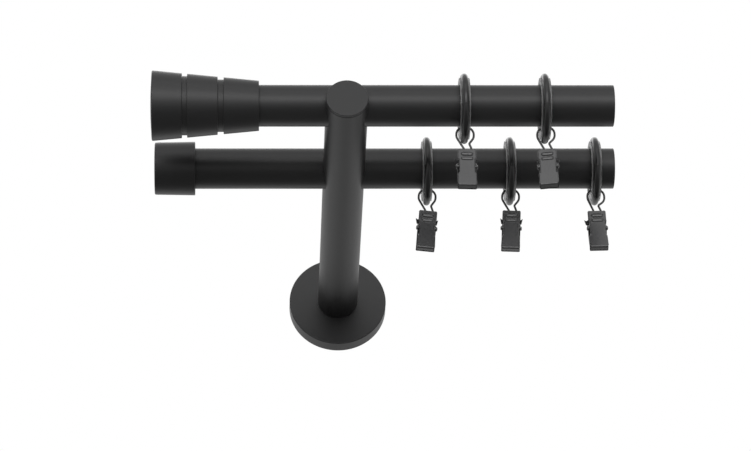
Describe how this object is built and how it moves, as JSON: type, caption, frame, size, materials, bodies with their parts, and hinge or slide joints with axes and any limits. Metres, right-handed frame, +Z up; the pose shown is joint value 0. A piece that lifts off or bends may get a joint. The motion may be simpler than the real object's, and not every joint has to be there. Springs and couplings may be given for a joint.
{
  "type": "double curtain pole",
  "caption": "Double curtain pole on one wall bracket, with a grooved cone finial, an end cap, and sliding rings that carry hinged clips on wire loops.",
  "frame": {"origin": "centre of the rose's back face, on the wall", "axes": "+X along the poles away from the finial, +Y into the wall, +Z up"},
  "size_m": [0.2843, 0.2612, 0.0852],
  "materials": {
    "satin_black": "satin black powder coat",
    "ring_black": "smooth black lacquer",
    "liner_clear": "clear plastic, a little smoky",
    "wire_black": "black plated wire",
    "clip_black": "grey-black lacquered sheet steel",
    "spring_steel": "dark oiled spring wire",
    "zinc_steel": "bright zinc plated steel",
    "black_screw": "black oxide steel"
  },
  "bodies": {
    "root": {"wall_plate": "zinc_steel", "wall_rose": "satin_black", "rose_grub_screw": "black_screw", "arm_screw": "zinc_steel", "arm_base_insert": "zinc_steel", "bracket_arm": "satin_black", "arm_end_cap": "satin_black", "front_pole": "satin_black", "back_pole": "satin_black", "front_finial": "satin_black", "back_end_cap": "satin_black", "finial_grub_screw": "black_screw", "end_cap_grub_screw": "black_screw"},
    "ring_1": {"ring_1": "ring_black", "ring_liner_1": "liner_clear"},
    "loop_1": {"hanger_1": "wire_black"},
    "clip_1": {"clip_front_1": "clip_black", "clip_pin_1": "clip_black", "clip_spring_1": "spring_steel"},
    "jaw_1": {"clip_back_1": "clip_black"},
    "ring_2": {"ring_2": "ring_black", "ring_liner_2": "liner_clear"},
    "loop_2": {"hanger_2": "wire_black"},
    "clip_2": {"clip_front_2": "clip_black", "clip_pin_2": "clip_black", "clip_spring_2": "spring_steel"},
    "jaw_2": {"clip_back_2": "clip_black"},
    "ring_3": {"ring_3": "ring_black", "ring_liner_3": "liner_clear"},
    "loop_3": {"hanger_3": "wire_black"},
    "clip_3": {"clip_front_3": "clip_black", "clip_pin_3": "clip_black", "clip_spring_3": "spring_steel"},
    "jaw_3": {"clip_back_3": "clip_black"},
    "ring_4": {"ring_4": "ring_black", "ring_liner_4": "liner_clear"},
    "loop_4": {"hanger_4": "wire_black"},
    "clip_4": {"clip_front_4": "clip_black", "clip_pin_4": "clip_black", "clip_spring_4": "spring_steel"},
    "jaw_4": {"clip_back_4": "clip_black"},
    "ring_5": {"ring_5": "ring_black", "ring_liner_5": "liner_clear"},
    "loop_5": {"hanger_5": "wire_black"},
    "clip_5": {"clip_front_5": "clip_black", "clip_pin_5": "clip_black", "clip_spring_5": "spring_steel"},
    "jaw_5": {"clip_back_5": "clip_black"}
  },
  "joints": [
    {"name": "ring_1_slide", "type": "slide", "parent": "root", "child": "ring_1", "axis": [1, 0, 0], "range_m": [-0.05425, 0.0158]},
    {"name": "loop_1_swing", "type": "hinge", "parent": "ring_1", "child": "loop_1", "pos_m": [0.0706, -0.24, -0.01451], "axis": [0, 1, 0], "range_deg": [-15, 15]},
    {"name": "clip_1_swing", "type": "hinge", "parent": "loop_1", "child": "clip_1", "pos_m": [0.071, -0.24, -0.03718], "axis": [0.9997, 0, -0.0244], "range_deg": [-4.5, 16]},
    {"name": "jaw_1_open", "type": "hinge", "parent": "clip_1", "child": "jaw_1", "pos_m": [0.071, -0.24, -0.03718], "axis": [0.9997, 0, -0.0244], "range_deg": [0, 14], "stiffness_Nm_per_rad": 0.05, "springref_deg": -20.05, "deforming": ["clip_spring_1"]},
    {"name": "ring_2_slide", "type": "slide", "parent": "root", "child": "ring_2", "axis": [1, 0, 0], "range_m": [-0.0158, 0.03785]},
    {"name": "loop_2_swing", "type": "hinge", "parent": "ring_2", "child": "loop_2", "pos_m": [0.119, -0.24, -0.01451], "axis": [0.1392, 0.9903, 0], "range_deg": [-15, 15]},
    {"name": "clip_2_swing", "type": "hinge", "parent": "loop_2", "child": "clip_2", "pos_m": [0.11939, -0.24005, -0.03716], "axis": [0.9901, -0.1392, 0.0175], "range_deg": [-2.5, 18]},
    {"name": "jaw_2_open", "type": "hinge", "parent": "clip_2", "child": "jaw_2", "pos_m": [0.11939, -0.24005, -0.03716], "axis": [0.9901, -0.1392, 0.0175], "range_deg": [0, 14], "stiffness_Nm_per_rad": 0.05, "springref_deg": -20.05, "deforming": ["clip_spring_2"]},
    {"name": "ring_3_slide", "type": "slide", "parent": "root", "child": "ring_3", "axis": [1, 0, 0], "range_m": [-0.03485, 0.0173]},
    {"name": "loop_3_swing", "type": "hinge", "parent": "ring_3", "child": "loop_3", "pos_m": [0.0512, -0.1676, -0.01451], "axis": [-0.0349, 0.9994, 0], "range_deg": [-15, 15]},
    {"name": "clip_3_swing", "type": "hinge", "parent": "loop_3", "child": "clip_3", "pos_m": [0.05032, -0.16763, -0.03718], "axis": [0.9948, 0.0347, -0.0958], "range_deg": [-9.5, 11]},
    {"name": "jaw_3_open", "type": "hinge", "parent": "clip_3", "child": "jaw_3", "pos_m": [0.05032, -0.16763, -0.03718], "axis": [0.9948, 0.0347, -0.0958], "range_deg": [0, 14], "stiffness_Nm_per_rad": 0.05, "springref_deg": -20.05, "deforming": ["clip_spring_3"]},
    {"name": "ring_4_slide", "type": "slide", "parent": "root", "child": "ring_4", "axis": [1, 0, 0], "range_m": [-0.0173, 0.0179]},
    {"name": "loop_4_swing", "type": "hinge", "parent": "ring_4", "child": "loop_4", "pos_m": [0.1026, -0.1676, -0.01451], "axis": [0.0523, 0.9986, 0], "range_deg": [-15, 15]},
    {"name": "clip_4_swing", "type": "hinge", "parent": "loop_4", "child": "clip_4", "pos_m": [0.10205, -0.16757, -0.03718], "axis": [0.9964, -0.0522, -0.0663], "range_deg": [-10.5, 10]},
    {"name": "jaw_4_open", "type": "hinge", "parent": "clip_4", "child": "jaw_4", "pos_m": [0.10205, -0.16757, -0.03718], "axis": [0.9964, -0.0522, -0.0663], "range_deg": [0, 14], "stiffness_Nm_per_rad": 0.05, "springref_deg": -20.05, "deforming": ["clip_spring_4"]},
    {"name": "ring_5_slide", "type": "slide", "parent": "root", "child": "ring_5", "axis": [1, 0, 0], "range_m": [-0.0179, 0.0082]},
    {"name": "loop_5_swing", "type": "hinge", "parent": "ring_5", "child": "loop_5", "pos_m": [0.1552, -0.1676, -0.01451], "axis": [0.0175, 0.9998, 0], "range_deg": [-15, 15]},
    {"name": "clip_5_swing", "type": "hinge", "parent": "loop_5", "child": "clip_5", "pos_m": [0.15502, -0.1676, -0.03717], "axis": [0.9998, -0.0175, 0.014], "range_deg": [-6.5, 14]},
    {"name": "jaw_5_open", "type": "hinge", "parent": "clip_5", "child": "jaw_5", "pos_m": [0.15502, -0.1676, -0.03717], "axis": [0.9998, -0.0175, 0.014], "range_deg": [0, 14], "stiffness_Nm_per_rad": 0.05, "springref_deg": -20.05, "deforming": ["clip_spring_5"]}
  ]
}
